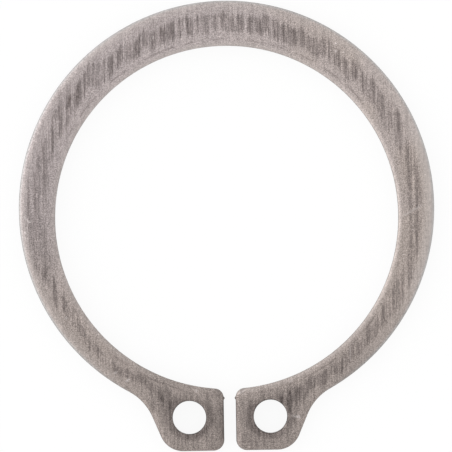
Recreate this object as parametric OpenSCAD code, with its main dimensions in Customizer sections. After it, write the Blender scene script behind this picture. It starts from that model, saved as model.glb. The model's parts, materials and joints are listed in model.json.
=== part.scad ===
// External retaining ring: an open spring ring stamped from strip steel, with two
// drilled lugs that pliers spread so that it slips over a shaft into its groove.
// The ring lies flat on z = 0 with its rolled face up. The origin is the centre of the
// bore, and the lugs point along -Y.

/* [Ring] */
// Inside diameter at rest, before the ring is spread over its shaft
bore_d = 22.2; // [18:0.1:30]
// Radial width of the band opposite the gap
back_w = 2.9; // [2.3:0.01:3.6]
// Radial width that the band narrows to at the gap
front_w = 1.74; // [1.4:0.01:2.2]
// Thickness of the strip
thickness = 1.2; // [0.8:0.05:2]

/* [Lugs] */
// Gap between the ends of the two lugs
gap = 0.78; // [0.4:0.02:2]
// Diameter of the plier holes
hole_d = 2.16; // [1.6:0.01:2.6]
// Wall between a plier hole and the bore
bore_wall = 0.985; // [0.8:0.005:1.4]
// Wall between a plier hole and the end of its lug
end_wall = 1.15; // [0.8:0.05:1.6]
// Wall between a plier hole and the foot of its lug
foot_wall = 1.08; // [0.8:0.02:1.6]
// Wall between a plier hole and the sloping flank of its lug
flank_wall = 1.09; // [0.8:0.005:1.6]
// Lean of the flank away from the centre line, in degrees
flank_lean = 23; // [15:1:30]

/* [Corners] */
// Radius from the end of a lug into the bore
throat_r = 0.59; // [0.5:0.01:0.8]
// Radius from the end of a lug to its foot
toe_r = 0.7; // [0.5:0.01:1]
// Radius from the foot of a lug to its flank
heel_r = 1.55; // [1:0.05:1.9]
// Hollow radius from the flank to the outer edge of the band
root_r = 3.4; // [2:0.1:5]

/* [Edges] */
// Width of the rolled edge on the upper face, round the outside and the lug ends
roll_w = 0.4; // [0.2:0.02:0.46]
// Depth of that rolled edge
roll_h = 0.18; // [0.12:0.02:0.3]
// Width of the rolled edge on the upper face, round the bore
bore_roll_w = 0.26; // [0.16:0.02:0.4]
// Depth of that rolled edge
bore_roll_h = 0.12; // [0.1:0.02:0.22]
// Width of the edge break on the lower face and at the plier holes
break_w = 0.14; // [0.08:0.01:0.2]
// Depth of that edge break
break_h = 0.1; // [0.05:0.01:0.12]
// Radius of the nib left on each lug end where the die parted the strip
nib_r = 0.1; // [0.06:0.01:0.14]
// How far the nibs stand out into the gap
nib_out = 0.065; // [0.03:0.005:0.08]

/* [Hidden] */
$fn = 128;

// Angle at which a rolled edge leaves its face
slip = 6;
// Overlap that lets neighbouring stretches of the outline cross cleanly
nip = 0.001;
// How far the edge cuts reach out of the solid
reach = gap / 4;
// How far straight and hollow edge cuts run on past their ends, where the next one cuts deeper
lap = 0.02;

bore_r = bore_d / 2;
hole_r = hole_d / 2;
outer_r = bore_r + (back_w + front_w) / 2;
outer_c = [0, (back_w - front_w) / 2];
beyond = 2 * outer_r;

// Plier hole of the right lug, set by its walls to the bore and to the lug's end
hole_x = gap / 2 + end_wall + hole_r;
hole_c = [hole_x, -sqrt(pow(bore_r + bore_wall + hole_r, 2) - pow(hole_x, 2))];
foot_y = hole_c.y - hole_r - foot_wall;

// Direction up the flank, and its outward normal
flank_up = [sin(flank_lean), cos(flank_lean)];
flank_out = [cos(flank_lean), -sin(flank_lean)];
flank_at = flank_out * hole_c + hole_r + flank_wall;

// Centres of the lug's corner arcs
throat_x = gap / 2 + throat_r;
throat_c = [throat_x, -sqrt(pow(bore_r + throat_r, 2) - pow(throat_x, 2))];
toe_c = [gap / 2 + toe_r, foot_y + toe_r];
heel_y = foot_y + heel_r;
heel_c = [(flank_at - heel_r - flank_out.y * heel_y) / flank_out.x, heel_y];

// The root arc touches the flank and the outer edge of the band
root_line = heel_c + (heel_r + root_r) * flank_out - outer_c;
root_along = root_line * flank_up;
root_rise = -root_along
    - sqrt(pow(root_along, 2) - root_line * root_line + pow(outer_r + root_r, 2));
root_c = outer_c + root_line + root_rise * flank_up;

// Points that close the sectors in which each edge cut works
root_in = root_c - 2 * root_r * flank_out;
heel_out = heel_c + 2 * heel_r * flank_out;
heel_down = heel_c - [0, 2 * heel_r];
toe_down = toe_c - [0, 2 * toe_r];
toe_mid = [0, toe_c.y];
throat_mid = [0, throat_c.y];

function mirrored(p) = [-p.x, p.y];
function open_sector(centre, p) = [
    centre, p, [beyond, p.y], [beyond, beyond], [-beyond, beyond], [-beyond, p.y], mirrored(p)
];

// Moves to a point in two steps, whole hundredths and then the rest, to keep every digit
module at(p) {
    near = [for (v = p) round(v * 100) / 100];
    translate(near) translate(p - near) children();
}

module both_sides() {
    children();
    mirror([1, 0, 0]) children();
}

// Outline of the right lug: heel and toe circles, with the straight sides and the root arc
module lug_outline() {
    at(toe_c) circle(toe_r);
    at(heel_c) circle(heel_r);
    difference() {
        polygon([
            outer_c, [0, toe_c.y], [gap / 2, toe_c.y],
            [toe_c.x, foot_y + nip], [heel_c.x, foot_y + nip],
            heel_c + (heel_r - nip) * flank_out, root_c - (root_r - nip) * flank_out,
            root_c
        ]);
        at(root_c) circle(root_r + nip);
    }
}

// The gap on the right of the centre line, with the arc that opens it into the bore
module half_gap() {
    translate([0, foot_y - toe_r]) square([gap / 2 + nip, -foot_y + toe_r]);
    difference() {
        polygon([[0, 0], throat_c, throat_mid]);
        at(throat_c) circle(throat_r + nip);
    }
}

module outline() {
    difference() {
        union() {
            at(outer_c) circle(outer_r);
            both_sides() lug_outline();
        }
        circle(bore_r);
        both_sides() half_gap();
        both_sides() at(hole_c) circle(hole_r);
    }
}

// What a rounded edge takes from a corner with its wall on x = 0 and its face on y = 0
module cove(w, h) {
    arc_r = norm([w, h]) / (2 * sin(atan2(h, w) - slip));
    arc_c = [-w - arc_r * sin(slip), -arc_r * cos(slip)];
    difference() {
        translate(arc_c) square([reach - arc_c.x, reach - arc_c.y]);
        at(arc_c) circle(arc_r);
    }
}

module edge_section(w, h) {
    translate([0, thickness]) cove(w, h);
    mirror([0, 1, 0]) cove(break_w, break_h);
}

module outer_section() {
    edge_section(roll_w, roll_h);
}

module bore_section() {
    edge_section(bore_roll_w, bore_roll_h);
}

module hole_section() {
    edge_section(break_w, break_h);
}

module sector_block(sector) {
    translate([0, 0, -thickness]) linear_extrude(3 * thickness) polygon(sector);
}

module along_arc(centre, r, sector) {
    intersection() {
        at(centre) rotate_extrude() translate([r, 0]) children();
        sector_block(sector);
    }
}

module along_hollow(centre, r, sector) {
    intersection() {
        at(centre) rotate_extrude() translate([r, 0]) mirror([1, 0, 0]) children();
        sector_block(sector);
    }
}

module along_line(start, out_angle, sector) {
    intersection() {
        at(start) rotate([0, 0, out_angle]) rotate([90, 0, 0])
            linear_extrude(2 * beyond, center = true) children();
        sector_block(sector);
    }
}

module lug_edges() {
    right = [lap, 0];
    up = [0, lap];
    along = lap * flank_up;
    along_hollow(root_c, root_r, [root_c, outer_c + right, root_in - along])
        outer_section();
    along_line(heel_c + heel_r * flank_out, -flank_lean,
        [root_c, root_in, heel_c - along, heel_out - along])
        outer_section();
    along_arc(heel_c, heel_r, [heel_c, heel_out, heel_out + heel_down - heel_c, heel_down])
        outer_section();
    along_line([heel_c.x, foot_y], -90,
        [heel_c + right, heel_down + right, toe_down - right, toe_c - right])
        outer_section();
    along_arc(toe_c, toe_r, [toe_c, toe_down, toe_down + toe_mid - toe_c, toe_mid])
        outer_section();
    along_line([gap / 2, toe_c.y], 180,
        [toe_c - up, toe_mid - up, throat_mid + up, throat_c + up])
        outer_section();
    along_arc(throat_c, throat_r, [throat_c, throat_mid, [0, 0]])
        bore_section();
    at(hole_c) rotate_extrude() translate([hole_r, 0]) mirror([1, 0, 0]) hole_section();
}

// Two cuts of the die meet at the nib: one round the bore, one round the outside
module nib() {
    nib_c = [gap / 2 - nib_out + nib_r, throat_c.y - nib_r / 3];
    translate([0, 0, break_h]) at(nib_c) cylinder(r = nib_r, h = thickness - break_h - roll_h);
}

module retaining_ring() {
    color([0.63, 0.59, 0.57]) union() {
        difference() {
            linear_extrude(thickness) outline();
            along_arc(outer_c, outer_r, open_sector(outer_c, root_c))
                outer_section();
            along_hollow([0, 0], bore_r, open_sector([0, 0], throat_c - [lap, 0]))
                bore_section();
            both_sides() lug_edges();
        }
        both_sides() nib();
    }
}

retaining_ring();
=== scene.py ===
import json
import math

import bpy
import numpy as np
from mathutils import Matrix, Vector, geometry, kdtree, noise


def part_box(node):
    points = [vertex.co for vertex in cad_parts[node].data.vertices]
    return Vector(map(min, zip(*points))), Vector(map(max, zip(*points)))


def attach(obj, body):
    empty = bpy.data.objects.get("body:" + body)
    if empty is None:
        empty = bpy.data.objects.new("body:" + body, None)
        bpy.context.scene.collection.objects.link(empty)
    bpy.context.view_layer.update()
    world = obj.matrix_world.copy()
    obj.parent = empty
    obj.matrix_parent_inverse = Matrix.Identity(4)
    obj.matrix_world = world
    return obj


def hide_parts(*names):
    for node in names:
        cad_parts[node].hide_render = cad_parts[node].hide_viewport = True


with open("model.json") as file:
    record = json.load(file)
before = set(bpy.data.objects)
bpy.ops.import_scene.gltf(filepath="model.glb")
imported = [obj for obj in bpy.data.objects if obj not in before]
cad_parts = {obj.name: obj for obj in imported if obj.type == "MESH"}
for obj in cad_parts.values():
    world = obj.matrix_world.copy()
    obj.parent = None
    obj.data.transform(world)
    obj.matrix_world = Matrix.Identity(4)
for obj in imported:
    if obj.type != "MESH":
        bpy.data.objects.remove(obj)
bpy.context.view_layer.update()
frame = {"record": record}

# The ring is one blank, stamped from strip spring steel, hardened and tumbled.
# Its upper face has the soft rolled edge that the die leaves, and its lower face only a
# small break. Fine marks from rolling the strip run straight along Y, also round the bend.
mm = 0.001
mounts = {mount["name"]: mount for mount in frame["record"]["mounts"]}

# Sizes are in millimetres, and the mesh is scaled to metres when it is made
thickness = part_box("retaining_ring")[1].z / mm
bore_r = mounts["shaft_bore"]["dims"]["r_mm"]
hole_r = mounts["plier_hole_right"]["dims"]["r_mm"]
hole_c = np.array(mounts["plier_hole_right"]["pos_m"][:2]) / mm
back_w = 2.9
front_w = 1.74
gap = 0.78
foot_wall = 1.08
flank_wall = 1.09
flank_lean = math.radians(23)
throat_r = 0.59
toe_r = 0.7
heel_r = 1.55
root_r = 3.4
roll_w = 0.4
roll_h = 0.18
bore_roll_w = 0.26
bore_roll_h = 0.12
break_w = 0.14
break_h = 0.1
nib_r = 0.1
nib_out = 0.065
slip = math.radians(6)
hair = 0.001

outer_r = bore_r + (back_w + front_w) / 2
outer_c = np.array([0, (back_w - front_w) / 2])
foot_y = hole_c[1] - hole_r - foot_wall
flank_up = np.array([math.sin(flank_lean), math.cos(flank_lean)])
flank_out = np.array([math.cos(flank_lean), -math.sin(flank_lean)])
flank_at = flank_out @ hole_c + hole_r + flank_wall
throat_x = gap / 2 + throat_r
throat_c = np.array([throat_x, -math.sqrt((bore_r + throat_r) ** 2 - throat_x**2)])
toe_c = np.array([gap / 2 + toe_r, foot_y + toe_r])
heel_y = foot_y + heel_r
heel_c = np.array([(flank_at - heel_r - flank_out[1] * heel_y) / flank_out[0], heel_y])
root_line = heel_c + (heel_r + root_r) * flank_out - outer_c
root_along = root_line @ flank_up
root_rise = -root_along - math.sqrt(root_along**2 - root_line @ root_line + (outer_r + root_r) ** 2)
root_c = outer_c + root_line + root_rise * flank_up
nib_y = throat_c[1] - nib_r / 3


def heading(v):
    return math.atan2(v[1], v[0])


def arc(centre, r, start, end, step, hollow=False):
    """Points along an arc, each with its normal pointing out of the steel."""
    count = round(abs(end - start) * r / step)
    angles = np.linspace(start, end, count, endpoint=False)
    out = np.stack([np.cos(angles), np.sin(angles)], 1)
    return np.hstack([centre + r * out, -out if hollow else out])


def line(start, end, out, step):
    """Points along a straight side, each with the side's normal."""
    count = round(np.linalg.norm(np.subtract(end, start)) / step)
    along = np.linspace(0, 1, count, endpoint=False)[:, None]
    places = np.asarray(start) + along * np.subtract(end, start)
    return np.hstack([places, np.tile(out, (count, 1))])


# The right half of the outline runs from the back of the band round the lug to the bore
long_step = 0.08
corner_step = 0.05
nib_step = 0.016
nib_reach = 1.2 * nib_r
end_x = gap / 2
outer_stretch = np.vstack([
    arc(outer_c, outer_r, math.pi / 2, heading(root_c - outer_c), long_step),
    arc(root_c, root_r, heading(outer_c - root_c), heading(-flank_out), corner_step, hollow=True),
    line(root_c - root_r * flank_out, heel_c + heel_r * flank_out, flank_out, corner_step),
    arc(heel_c, heel_r, -flank_lean, -math.pi / 2, corner_step),
    line([heel_c[0], foot_y], [toe_c[0], foot_y], [0, -1], corner_step),
    arc(toe_c, toe_r, -math.pi / 2, -math.pi, corner_step),
    line([end_x, toe_c[1]], [end_x, nib_y - nib_reach], [-1, 0], corner_step),
    line([end_x, nib_y - nib_reach], [end_x, throat_c[1]], [-1, 0], nib_step),
    arc(throat_c, throat_r, math.pi, heading(-throat_c), nib_step),
])
bore_stretch = arc(np.zeros(2), bore_r, heading(throat_c), math.pi / 2, long_step, hollow=True)
bore_top = np.array([[0, bore_r, 0, -1]])
right_half = np.vstack([outer_stretch, bore_stretch])
left_half = np.vstack([bore_top, right_half[:0:-1] * [-1, 1, -1, 1]])
outline = np.vstack([right_half, left_half])[::-1]


def rounded_edge(w, h, count):
    """Inset and depth of the points down a rounded edge, from its face to its wall."""
    arc_r = math.hypot(w, h) / (2 * math.sin(math.atan2(h, w) - slip))
    angles = np.linspace(slip, 2 * math.atan2(h, w) - slip, count)
    inset = w + arc_r * (math.sin(slip) - np.sin(angles))
    depth = arc_r * (math.cos(slip) - np.cos(angles))
    return np.stack([inset, depth], 1)


# Rows of points down each edge, and up the wall, which keeps a small share free at its ends
break_rows = 4
roll_rows = 8
wall_rows = 7
wall_margin = 0.05


def section(top_w, top_h):
    """Inset and height of the rows of points from the lower face up the wall to the upper face."""
    low = rounded_edge(break_w, break_h, break_rows)
    high = rounded_edge(top_w, top_h, roll_rows) * [1, -1] + [0, thickness]
    up_wall = np.linspace(wall_margin, 1 - wall_margin, wall_rows)
    heights = break_h + (thickness - top_h - break_h) * up_wall
    wall = np.stack([np.zeros(wall_rows), heights], 1)
    return np.vstack([low, wall, high[::-1]])


outer_rows = section(roll_w, roll_h)
bore_rows = section(bore_roll_w, bore_roll_h)
hole_rows = section(break_w, break_h)
bore_reach = math.hypot(end_x, throat_c[1]) - hair
outline_rows = [bore_rows if math.hypot(x, y) < bore_reach else outer_rows for x, y, nx, ny in outline]
full_turn = 2 * math.pi
hole_centres = [hole_c, hole_c * [-1, 1]]
rims = [outline] + [arc(c, hole_r, 0, -full_turn, corner_step, hollow=True) for c in hole_centres]
rim_rows = [outline_rows] + [[hole_rows] * len(rim) for rim in rims[1:]]

# Below a burnished land the wall broke away in the press, which left it slightly pitted.
# The parted ends carry a nib, which stands out of the wall between its two rounded edges.
land_h = 0.62
pit_depth = 0.014
pit_size = 0.11
nib_fade = 0.05
nib_facing = 0.99
wall_top = thickness - roll_h


def pitting(x, y, z):
    if not break_h < z < land_h:
        return 0
    return pit_depth * (0.5 + 0.5 * noise.noise(Vector((x, y, z)) / pit_size))


def nib(x, y, nx, z):
    run = nib_r**2 - (y - nib_y) ** 2
    if run < 0 or abs(nx) < nib_facing or abs(x) > throat_x:
        return 0
    rise = min(z - break_h, wall_top - z)
    return max(0, math.sqrt(run) - nib_r + nib_out) * max(0, min(1, rise / nib_fade))


points = []
faces = []
rim_starts = []
for rim, rows_there in zip(rims, rim_rows):
    count = len(rim)
    rim_starts.append(len(points))
    for row in range(len(outer_rows)):
        below = len(points)
        for (x, y, nx, ny), rows in zip(rim, rows_there):
            inset, z = rows[row]
            if inset < hair:
                inset = pitting(x, y, z) - nib(x, y, nx, z)
            points.append((x - inset * nx, y - inset * ny, z))
        if row + 1 < len(outer_rows):
            for i in range(count):
                j = (i + 1) % count
                faces.append((below + i, below + j, below + count + j, below + count + i))


def nearest(places):
    tree = kdtree.KDTree(len(places))
    for index, place in enumerate(places):
        tree.insert((place[0], place[1], 0), index)
    tree.balance()
    return lambda x, y: tree.find((x, y, 0))[2]


from_outside = nearest([p for p in outline if math.hypot(p[0], p[1]) > bore_r + hair])


def from_bore(x, y):
    return math.hypot(x, y) - bore_r


def from_hole(x, y):
    return math.hypot(abs(x) - hole_c[0], y - hole_c[1]) - hole_r


def near_steel(x, y):
    on_band = math.dist((x, y), outer_c) < outer_r
    on_lug = foot_y < y < root_c[1] and flank_out @ (abs(x), y) < flank_at
    return (on_band or on_lug) and from_bore(x, y) > 0 and from_hole(x, y) > 0


inside_only = 1
merge_within = 1e-7


def fill(row, height, step_x, step_y):
    """Closes a face, out to the rows of points where the rounded edges meet it."""
    known = []
    edges = []
    for start, rim in zip(rim_starts, rims):
        taken = len(known)
        count = len(rim)
        known += [start + (row % len(outer_rows)) * count + i for i in range(count)]
        edges += [(taken + i, taken + (i + 1) % count) for i in range(count)]
    margins = [rows[row][0] + step_x / 2 for rows in (outer_rows, bore_rows, hole_rows)]
    first_inner = len(points)
    for x in np.arange(-outer_r, outer_r, step_x):
        for y in np.arange(foot_y, outer_r + outer_c[1], step_y):
            if not near_steel(x, y):
                continue
            gaps = (from_outside(x, y), from_bore(x, y), from_hole(x, y))
            if all(gap_there > margin for gap_there, margin in zip(gaps, margins)):
                points.append((x, y, height(x, y)))
    known += range(first_inner, len(points))
    flat = [Vector(points[i][:2]) for i in known]
    made = geometry.delaunay_2d_cdt(flat, edges, [], inside_only, merge_within)
    places, _, triangles, sources, _, _ = made
    for corners in triangles:
        centre = sum((places[i] for i in corners), Vector((0, 0))) / 3
        if from_hole(*centre) > hole_rows[row][0]:
            ids = [known[sources[i][0]] for i in corners]
            faces.append(ids if row else ids[::-1])


# Dark marks from rolling the strip are left in the middle of the band, where tumbling did
# not reach. They lie about half a millimetre apart, and each ends where it will.
mark_pitch = 0.56
mark_half = 0.29
mark_core = 0.3
mark_depth = 0.005
mark_strength = 0.8
place_play = 0.1
width_play = 0.16
strength_play = 0.3
end_play = 0.14
narrow_from = 9
narrow_to = 11.5
narrow_share = 0.5
inner_fade = (0.18, 0.46)
outer_fade = (0.2, 0.44)
left_trim = 0.1
lug_clear = 2.9

# Rows of noise from which the marks' places, widths, strengths and ends are drawn: the step
# from mark to mark, the share of the way along Y, and the row's own place
place_row = (3.7, 0.5, 2.3)
width_row = (4.1, 1.5, 5.6)
strength_row = (5.3, 0.3, 7.1)
end_row = (1, 0.12, 8.4)


def drawn(number, row, along=1):
    """A value between -1 and 1 for a mark, from its row of noise."""
    step, share, own_place = row
    return noise.noise(Vector((number * step, along * share, own_place)))


def smooth(low, high, value):
    share = max(0, min(1, (value - low) / (high - low)))
    return share * share * (3 - 2 * share)


def kept_marks(x, y):
    """How much of the rolling marks tumbling has left at a point of a face."""
    way_in = max(0, from_bore(x, y))
    shift = end_play * drawn(x / mark_pitch, end_row, y)
    across = way_in / (way_in + from_outside(x, y)) - shift
    trim = left_trim * smooth(0, 4, -x) * smooth(2, 6, -y)
    inner_end = smooth(*inner_fade, across)
    outer_end = smooth(outer_fade[0] + trim, outer_fade[1] + trim, 1 - across)
    return inner_end * outer_end * smooth(lug_clear / 2, lug_clear, math.hypot(x, y - hole_c[1]))


def comb(x, y):
    """The rolling marks side by side, each with its own width and strength, from 0 to 1."""
    middle = round(x / mark_pitch)
    narrowed = 1 - narrow_share * smooth(narrow_from, narrow_to, abs(x))
    deepest = 0
    for k in (middle - 1, middle, middle + 1):
        place = mark_pitch * (k + place_play * drawn(k, place_row))
        half = mark_half * (1 + width_play * drawn(k, width_row)) * narrowed
        strength = mark_strength + strength_play * drawn(k, strength_row, y)
        deepest = max(deepest, strength * (1 - smooth(mark_core, 1, abs(x - place) / half)))
    return deepest


def marks(x, y):
    kept = kept_marks(x, y)
    return kept * comb(x, y) if kept else 0


# The marks, and less so the faces between them, are darker about some places, and below 0 paler
patch_reach = 1.2
patches = [
    ((-9.9, 8.0), 0.4),
    ((-4.4, 12.3), 0.18),
    ((-8.2, 9.6), -0.28),
    ((-1.0, 12.4), -0.25),
    ((7.2, 10.9), -0.2),
    ((11.1, 6.1), 0.2),
    ((-11.7, -2.1), -0.3),
    ((-10.1, -6.8), -0.25),
    ((-8.0, -9.2), -0.3),
    ((-4.1, -10.9), -0.2),
    ((5.2, -12.2), -0.3),
    ((3.7, -11.5), 0.25),
    ((1.6, -14.0), 0.25),
    ((-1.7, -13.6), 0.25),
    ((-4.5, -12.0), 0.2),
]


def patchy(x, y):
    return sum(dark * (1 - smooth(0, patch_reach, math.dist((x, y), spot))) for spot, dark in patches)


# Knocks against other rings left bright nicks and scratches and some dark scores on the upper face.
# Some of the bright ones, as at the right lug's throat corner, are painted glints.
# Each runs from one point to another, and is bright above 0 and dark below.
nick_half = 0.09
nick_depth = 0.01
nicks_and_glints = [
    ((-13.0, -0.75), (-13.05, -0.8), 1),
    ((-13.05, -1.1), (-13.05, -1.15), 0.8),
    ((-13.1, 0.25), (-12.8, -0.1), 0.45),
    ((-12.8, -0.1), (-12.6, -0.05), 0.45),
    ((-10.45, -6.3), (-10.5, -6.35), 0.7),
    ((-4.6, 11.7), (-4.55, 11.65), 0.4),
    ((-6.65, -10.5), (-6.5, -10.35), 0.8),
    ((-2.15, -11.2), (-2.1, -11.15), 0.7),
    ((0.62, -11.4), (0.95, -11.2), 0.5),
    ((4.5, -12.9), (4.5, -13), 0.8),
    ((11.45, -0.05), (12.55, 0.55), 0.4),
    ((0.6, -14.5), (2.9, -14.55), -0.4),
    ((-7.41, -9.94), (-7.28, -9.88), 0.6),
    ((-7.74, -10.03), (-7.71, -10.0), 0.5),
    ((7.22, 11.12), (7.25, 11.12), 0.9),
    ((7.21, 10.6), (7.24, 10.63), 0.7),
    ((7.72, 10.53), (7.76, 10.53), 0.4),
    ((3.95, -10.68), (3.98, -10.64), 0.5),
    ((4.16, -13.59), (4.16, -13.65), 0.4),
    ((7.83, -8.41), (7.82, -9.38), 0.25),
    ((7.34, -8.86), (7.72, -9.38), -0.45),
    ((-7.66, -8.93), (-7.27, -8.94), -0.3),
    ((-5.74, -10.26), (-5.09, -10.33), -0.25),
    ((-5.09, -10.33), (-4.58, -10.53), -0.35),
    ((-4.58, -10.53), (-3.68, -10.81), -0.25),
    ((-12.15, 4.5), (-12.3, -0.8), -0.25),
    ((-12.8, 2.6), (-12.83, 0.45), -0.25),
    ((-11.58, 4.2), (-11.63, 2.55), -0.25),
    ((11.96, 4.75), (11.91, 1.55), -0.2),
    ((12.39, 3.5), (12.36, 1.5), -0.2),
]


def nick_and_glint_tone(x, y):
    """How bright, or below 0 how dark, the nicks, scratches and painted glints make a point of the
    upper face.
    """
    found = 0
    for start, end, light in nicks_and_glints:
        run = math.dist(start, end)
        if math.dist((x, y), start) < run + nick_half:
            nearest_to, along = geometry.intersect_point_line((x, y), start, end)
            stop = max(0, along - 1, -along) * run
            gap_there = math.hypot(math.dist((x, y), nearest_to), stop)
            found += light * (1 - smooth(0, 1, gap_there / nick_half))
    return found


def upper_height(x, y):
    return thickness - mark_depth * marks(x, y) - nick_depth * abs(nick_and_glint_tone(x, y))


def lower_height(x, y):
    return mark_depth * marks(x, y)


upper_steps = (0.06, 0.08)
lower_steps = (0.14, 0.16)
fill(-1, upper_height, *upper_steps)
fill(0, lower_height, *lower_steps)

mesh = bpy.data.meshes.new("retaining_ring_steel")
mesh.from_pydata([Vector(p) * mm for p in points], [], faces)
mesh.validate()
mesh.shade_smooth()
ring = bpy.data.objects.new("retaining_ring_steel", mesh)
bpy.context.collection.objects.link(ring)


def measured(name, measure, above=-1):
    """Keeps a measure of each point, in millimetres or as a share, for the finish to read."""
    kept = mesh.attributes.new(name, "FLOAT", "POINT")
    kept.data.foreach_set("value", [measure(x, y) if z > above else 0 for x, y, z in points])


measured("comb", comb)
measured("kept_marks", kept_marks)
measured("from_bore", from_bore)
measured("from_outside", from_outside)
measured("from_hole", from_hole)
measured("patchy", patchy)
measured("nick_and_glint_tone", nick_and_glint_tone, thickness / 2)

# Tumbled steel: warm grey and speckled, with dark rolling marks and paler worn edges
plain_steel = (0.4, 0.352, 0.348, 1)
olive_steel = (0.4, 0.344, 0.315, 1)
# The dark mark colour paints the rolling marks and dark scores, and also the painted shade in the gap
# between the lugs
dark_mark_and_shade = (0.14, 0.116, 0.111, 1)
worn_steel = (0.505, 0.455, 0.432, 1)
# The pale rim colour is partly polished steel and partly the cool tone of a painted highlight
pale_rim_and_sheen = (0.46, 0.455, 0.452, 1)
# The bright nick colour paints the bare steel of nicks and knocks, and also their painted glints
bright_nick_and_glint = (0.7, 0.64, 0.62, 1)

steel = bpy.data.materials.new("tumbled_spring_steel")
steel.use_nodes = True
tree = steel.node_tree
shader = tree.nodes["Principled BSDF"]


def join(value, socket):
    if isinstance(value, bpy.types.NodeSocket):
        tree.links.new(value, socket)
    else:
        socket.default_value = value


def node(kind, **settings):
    made = tree.nodes.new(kind)
    for name, value in settings.items():
        setattr(made, name, value)
    return made


def maths(operation, a, b):
    made = node("ShaderNodeMath", operation=operation)
    join(a, made.inputs[0])
    join(b, made.inputs[1])
    return made.outputs[0]


def product(first, *others):
    for other in others:
        first = maths("MULTIPLY", first, other)
    return first


def total(first, *others):
    for other in others:
        first = maths("ADD", first, other)
    return first


def ranged(value, low, high, to_low, to_high):
    made = node("ShaderNodeMapRange", interpolation_type="SMOOTHSTEP")
    for socket, number in zip(made.inputs, (value, low, high, to_low, to_high)):
        join(number, socket)
    return made.outputs[0]


def between(share, at_none, at_full):
    return ranged(share, 0.0, 1.0, at_none, at_full)


def blended(share, a, b, way="MIX"):
    made = node("ShaderNodeMix", data_type="RGBA", blend_type=way)
    join(share, made.inputs["Factor"])
    join(a, made.inputs["A"])
    join(b, made.inputs["B"])
    return made.outputs["Result"]


def measure_of(name):
    return node("ShaderNodeAttribute", attribute_name=name).outputs["Fac"]


place = node("ShaderNodeTexCoord").outputs["Object"]


def scaled(size):
    made = node("ShaderNodeMapping")
    join(place, made.inputs["Vector"])
    made.inputs["Scale"].default_value = [1 / length / mm for length in size]
    return made.outputs[0]


grain_roughness = 0.65


def grain(size, detail):
    """Soft noise with features of that size in millimetres."""
    made = node("ShaderNodeTexNoise")
    join(scaled(size), made.inputs["Vector"])
    made.inputs["Scale"].default_value = 1
    made.inputs["Detail"].default_value = detail
    made.inputs["Roughness"].default_value = grain_roughness
    return made.outputs["Fac"]


where = node("ShaderNodeSeparateXYZ")
join(place, where.inputs[0])


def zone(axis, start, end, at_start, gap_shade_at_end):
    """A value that changes smoothly between two places along an axis, in millimetres."""
    return ranged(where.outputs[axis], start * mm, end * mm, at_start, gap_shade_at_end)


# Where a point is: how far from each edge, and on which part of the ring
bore_way = measure_of("from_bore")
outside_way = measure_of("from_outside")
hole_way = measure_of("from_hole")
off_middle = maths("ABSOLUTE", where.outputs["X"], 0.0)
lug = zone("Y", -8.5, -12, 0.0, 1.0)
band = maths("SUBTRACT", 1.0, lug)
side = ranged(off_middle, 8 * mm, 11.5 * mm, 0.0, 1.0)
back = product(band, ranged(side, 0.0, 0.6, 1.0, 0.0))
left = zone("X", -0.3, 0.3, 1.0, 0.0)

# Tumbling left a fine speckle, which runs on down the walls as the upright scores of the punch.
# Rolling left fine lines along Y, below 0 dark and above 0 light, with streaks at the back.
speckle = grain((0.05, 0.05, 1.5), 0.0)
mottle = grain((0.2, 0.2, 0.2), 2.0)
tint = grain((4, 4, 4), 1.0)
runs = grain((1.2, 1.2, 1.2), 0.0)
line_from = 0.32
line_to = 0.68
side_share = 0.65
long_lines = ranged(grain((0.13, 5, 0.5), 1.0), line_from, line_to, -0.65, 0.55)
short_lines = ranged(grain((0.09, 0.5, 0.5), 1.0), line_from, line_to, -0.6, 0.6)
streaks = ranged(grain((0.075, 0.9, 0.5), 1.0), line_from, line_to, -0.62, 0.62)
fine_lines = total(product(streaks, back), product(short_lines, maths("SUBTRACT", 1.0, back)))
lines = total(long_lines, product(fine_lines, between(side, 1.0, side_share)))

# The fine lines break the marks up, and give each its own ragged ends
comb_at_back = 0.46
comb_at_left = 0.38
comb_at_right = 0.3
comb_at_lugs = 0.5
comb_low_right = 0.75
ground_of_band = 0.21
ground_of_lugs = 0.32
kept = measure_of("kept_marks")
ragged_ends = product(lines, ranged(kept, 0.0, 0.3, 0.0, -0.2))
kept = ranged(total(kept, ragged_ends), 0.1, 0.9, 0.0, 1.0)
comb_there = measure_of("comb")
comb_share = product(
    between(side, comb_at_back, zone("X", -3, 3, comb_at_left, comb_at_right)),
    zone("Y", -2, -12, 1.0, comb_at_lugs),
    zone("Y", -3, -6, 1.0, zone("X", 4, 8, 1.0, comb_low_right)),
)
ground = ranged(lug, 0.0, 0.7, ground_of_band, ground_of_lugs)
depth = total(product(comb_there, comb_share), ground, product(lines, between(side, -0.16, -0.17)))

# A dark ring is left round each plier hole, narrower towards the foot and faint at the bore
halo_left = 0.56
halo_right = 0.44
foot_way = zone("Y", hole_c[1] - 0.3, hole_c[1] - hole_r, 1.0, 1.6)
halo = product(
    ranged(product(hole_way, foot_way), 0.3, 0.85, 1.0, 0.0),
    total(product(lines, -0.12), zone("X", 2.2, 3.2, halo_left, halo_right)),
    ranged(bore_way, 0.5, 1.3, 0.2, 1.0),
)
uneven = product(
    measure_of("patchy"),
    total(product(lines, -0.3), 1.0),
    ranged(comb_there, 0.0, 0.8, 0.5, 1.25),
)
dark_share = maths("MAXIMUM", product(kept, depth), halo)
dark_share = maths("MAXIMUM", total(dark_share, uneven), 0.0)

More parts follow.
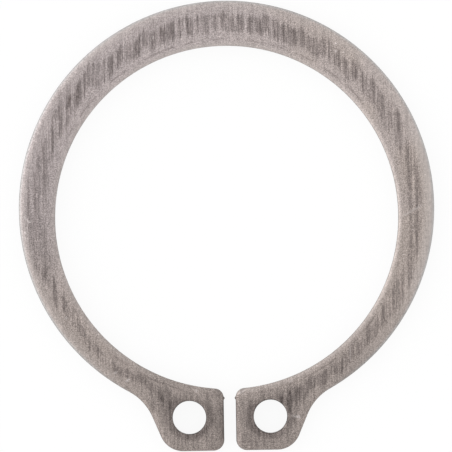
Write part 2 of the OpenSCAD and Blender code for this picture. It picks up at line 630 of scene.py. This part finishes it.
# Painted shade: the parted ends are painted dark where they face each other across the narrow gap, the
# left one further in
painted_gap_shade = 0.26
end_way = maths("SUBTRACT", off_middle, end_x * mm)
gap_shade_at_end = ranged(end_way, 0.1 * mm, 0.34 * mm, painted_gap_shade, 0.0)
gap_shade_further_in = product(left, ranged(end_way, 0.2 * mm, 0.8 * mm, painted_gap_shade, 0.0))
toe_way = zone("Y", foot_y + 0.3, foot_y + 1.1, 0.2, 1.0)
throat_way = zone("Y", throat_c[1], throat_c[1] - 0.7, 0.3, 1.0)
dark_share = maths("MAXIMUM", dark_share, product(total(gap_shade_at_end, gap_shade_further_in), lug, toe_way, throat_way))

# Tumbling wore the edges paler, most of all outside on the right and at the bore
usual_wear = 0.42
bore_wear = 0.5
right_wear = product(zone("Y", -1, -7, 0.95, 0.28), zone("Y", 4, 8, 1.0, 0.4))
left_wear = zone("Y", 0, 5, usual_wear, 0.08)
outside_wear = zone("X", 5, 11, zone("X", -12, -8, left_wear, usual_wear), right_wear)
wear_reach = zone("X", 5, 11, 0.75, 1.0)
worn_outside = product(ranged(outside_way, 0.0, wear_reach, outside_wear, 0.0), band)
on_bore = maths("MAXIMUM", band, between(left, 0.9, 0.0))
worn_bore = product(ranged(bore_way, 0.0, 0.4, bore_wear, 0.0), on_bore)
worn = maths("MAXIMUM", worn_outside, worn_bore)
# A thin pale, cool rim along the outside edge is partly wear and partly a painted highlight of the
# rolled edge
rim_wear_and_sheen = product(ranged(outside_way, 0.04, 0.2, 0.6, 0.0), band)

# A broken dark line shows where the bore's rolled edge begins, at the back and by the lugs
roll_limit = product(
    ranged(bore_way, 0.32, 0.4, 0.0, 1.0),
    ranged(bore_way, 0.4, 0.52, 1.0, 0.0),
    ranged(maths("ABSOLUTE", where.outputs["Y"], 0.0), 3 * mm, 7 * mm, 0.0, 1.0),
    ranged(runs, 0.45, 0.6, 0.0, 0.4),
)

# Small bright knocks are scattered all over, brighter near the edges, with their glints painted into
# the colour
spots = node("ShaderNodeTexVoronoi")
join(scaled((0.3, 0.3, 0.3)), spots.inputs["Vector"])
spots.inputs["Scale"].default_value = 1
chance = node("ShaderNodeSeparateColor")
join(spots.outputs["Color"], chance.inputs[0])
knock_and_glint = product(
    ranged(spots.outputs["Distance"], 0.06, 0.2, 1.0, 0.0),
    ranged(chance.outputs["Red"], 0.5, 0.95, 0.0, 1.0),
    ranged(maths("MINIMUM", bore_way, outside_way), 0.2, 1.2, 0.5, 0.3),
)

# Below the burnished land the torn wall is darker and duller, up to a wavy line
wave_h = 0.5
wave_fade = 0.05
wave = product(maths("SUBTRACT", grain((0.6, 0.6, 20), 2.0), 0.5), wave_h * mm)
torn = product(
    zone("Z", 0.02, break_h, 0.0, 1.0),
    ranged(
        total(where.outputs["Z"], wave),
        (land_h - wave_fade) * mm,
        (land_h + wave_fade) * mm,
        1.0,
        0.0,
    ),
)

# The steel is more olive on the right and towards the lugs
olive = product(zone("X", -4, 12, 0.1, 1.0), ranged(tint, 0.4, 0.6, 0.6, 1.0))
olive = maths("MAXIMUM", olive, zone("Y", 2, -8, 0.0, 0.9))
nick_and_glint_there = measure_of("nick_and_glint_tone")
colour = blended(olive, plain_steel, olive_steel)
colour = blended(worn, colour, worn_steel)
colour = blended(rim_wear_and_sheen, colour, pale_rim_and_sheen)
colour = blended(roll_limit, colour, dark_mark_and_shade)
# The dark share holds the rolling marks, the rings round the holes and the painted shade of the parted
# ends
colour = blended(dark_share, colour, dark_mark_and_shade)
colour = blended(knock_and_glint, colour, bright_nick_and_glint)
colour = blended(nick_and_glint_there, colour, bright_nick_and_glint)
colour = blended(product(nick_and_glint_there, -1.0), colour, dark_mark_and_shade)

# Speckle and lines shade the faces, and show less on the walls and where the edges are worn
speckle_strength = 0.41
upright = zone("Z", thickness - 0.04, thickness - roll_h, 0.0, 1.0)
line_share = total(product(kept, 0.1), between(lug, 0.08, 0.18), between(side, 0.0, 0.02))
line_share = product(line_share, between(upright, 1.0, 0.4))
speckle_share = product(maths("SUBTRACT", 1.0, worn), between(upright, 1.0, 0.5))
speckle_tone = ranged(speckle, 0.25, 0.75, -speckle_strength, speckle_strength)

# Painted shade: the lugs are painted darker than the band, where their flat face mirrors less light,
# but less so by the bore, where the rolled edge catches the light from the left, and on their outer
# flanks
lug_painted_shade = 0.24
flank_painted_shade = zone("X", 3.8, 5.2, 1.0, zone("X", 5.6, 7.5, 0.55, 0.95))
painted_lug_shade = product(zone("Y", -4, -12, 0.0, lug_painted_shade), zone("X", -9, -4, 0.4, flank_painted_shade))
bore_painted_shade = zone("X", 5, 7, between(left, 0.05, 0.65), 0.5)
painted_lug_shade = product(painted_lug_shade, ranged(bore_way, 0.15, 0.9, bore_painted_shade, 1.0))
torn_shade = 0.72
# Painted shade: the faces are painted lighter at the top and darker downwards, as the light falls
# across the ring; they are also a little lighter on the right
shade = product(
    ranged(mottle, 0.3, 0.7, 0.9, 1.1),
    total(product(speckle_tone, speckle_share), 1.0),
    total(product(lines, line_share), 1.0),
    zone("Y", 12, -4, 1.02, 0.92),
    zone("X", 6, 12, 1.0, 1.03),
    maths("SUBTRACT", 1.0, painted_lug_shade),
    between(torn, 1.0, torn_shade),
)
colour = blended(1.0, colour, shade, "MULTIPLY")
join(colour, shader.inputs["Base Color"])

torn_roughness = 0.15
bump_strength = 0.25
bump_depth = 0.01
roughness = total(ranged(mottle, 0.3, 0.7, 0.36, 0.5), product(torn, torn_roughness))
join(roughness, shader.inputs["Roughness"])
shader.inputs["Metallic"].default_value = 1
bump = node("ShaderNodeBump")
bump.inputs["Strength"].default_value = bump_strength
bump.inputs["Distance"].default_value = bump_depth * mm
join(total(product(mottle, 0.6), product(lines, 0.1)), bump.inputs["Height"])
join(bump.outputs[0], shader.inputs["Normal"])
mesh.materials.append(steel)

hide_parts("retaining_ring")
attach(ring, "root")

# The floor is a wide matt white board. It shows white to the camera and in the metal,
# and keeps a part of its own shading, so that the ring's soft shadow stays on it.
board_half = 1
board_top = -0.02 * mm
board_grey = (0.88, 0.88, 0.88, 1)
own_shading = 0.09
floor_mesh = bpy.data.meshes.new("white_board")
corners = [(-1, -1), (1, -1), (1, 1), (-1, 1)]
corner_places = [(x * board_half, y * board_half, board_top) for x, y in corners]
floor_mesh.from_pydata(corner_places, [], [(0, 1, 2, 3)])
floor = bpy.data.objects.new("white_board", floor_mesh)
bpy.context.collection.objects.link(floor)
board = bpy.data.materials.new("white_board")
board.use_nodes = True
tree = board.node_tree
tree.nodes.remove(tree.nodes["Principled BSDF"])
matt = node("ShaderNodeBsdfDiffuse")
matt.inputs["Color"].default_value = board_grey
glow = node("ShaderNodeEmission")
path = node("ShaderNodeLightPath").outputs
seen = maths("MAXIMUM", path["Is Camera Ray"], path["Is Glossy Ray"])
seen = maths("MAXIMUM", seen, path["Is Transmission Ray"])
white = node("ShaderNodeMixShader")
join(product(seen, 1 - own_shading), white.inputs[0])
join(matt.outputs[0], white.inputs[1])
join(glow.outputs[0], white.inputs[2])
join(white.outputs[0], tree.nodes["Material Output"].inputs["Surface"])
floor_mesh.materials.append(board)

# The studio is a room of white walls all round, brighter low on the left.
# There a large softbox stands, low and turned towards the ring.
light_from = (-0.99, 0.14, 0)
bright_from = 0.1
plain_level = 1.05
bright_level = 1.72
key_place = Vector((-0.36, 0.1, 0.1))
key_size = 0.25
key_watts = 0.12
world = bpy.data.worlds.new("white_studio")
world.use_nodes = True
bpy.context.scene.world = world
tree = world.node_tree
room = tree.nodes["Background"]
room.inputs["Color"].default_value = (1, 1, 1, 1)
facing = node("ShaderNodeVectorMath", operation="DOT_PRODUCT")
join(node("ShaderNodeTexCoord").outputs["Generated"], facing.inputs[0])
join(light_from, facing.inputs[1])
level = ranged(facing.outputs["Value"], bright_from, 1.0, plain_level, bright_level)
join(level, room.inputs["Strength"])
key_lamp = bpy.data.lights.new("key_softbox", "AREA")
key_lamp.size = key_size
key_lamp.energy = key_watts
key = bpy.data.objects.new("key_softbox", key_lamp)
bpy.context.collection.objects.link(key)
key.location = key_place
key.rotation_euler = (-key_place).to_track_quat("-Z", "Y").to_euler()
key.visible_camera = False

# The camera looks straight down at the ring through a long lens, turned a little so that
# the ring stands as it does in the picture.
picture_w = 29.21 * mm
picture_centre = (-0.0532 * mm, -0.5587 * mm)
picture_turn = math.radians(0.944)
edge_h = (thickness - roll_h) * mm
lens = bpy.data.cameras.new("long_lens")
lens.lens = 500
camera = bpy.data.objects.new("camera", lens)
bpy.context.collection.objects.link(camera)
camera.location = (*picture_centre, edge_h + lens.lens / lens.sensor_width * picture_w)
camera.rotation_euler = (0, 0, -picture_turn)
lens.clip_start = 0.01
lens.clip_end = 10
bpy.context.scene.camera = camera
bpy.context.scene.view_settings.view_transform = "Standard"
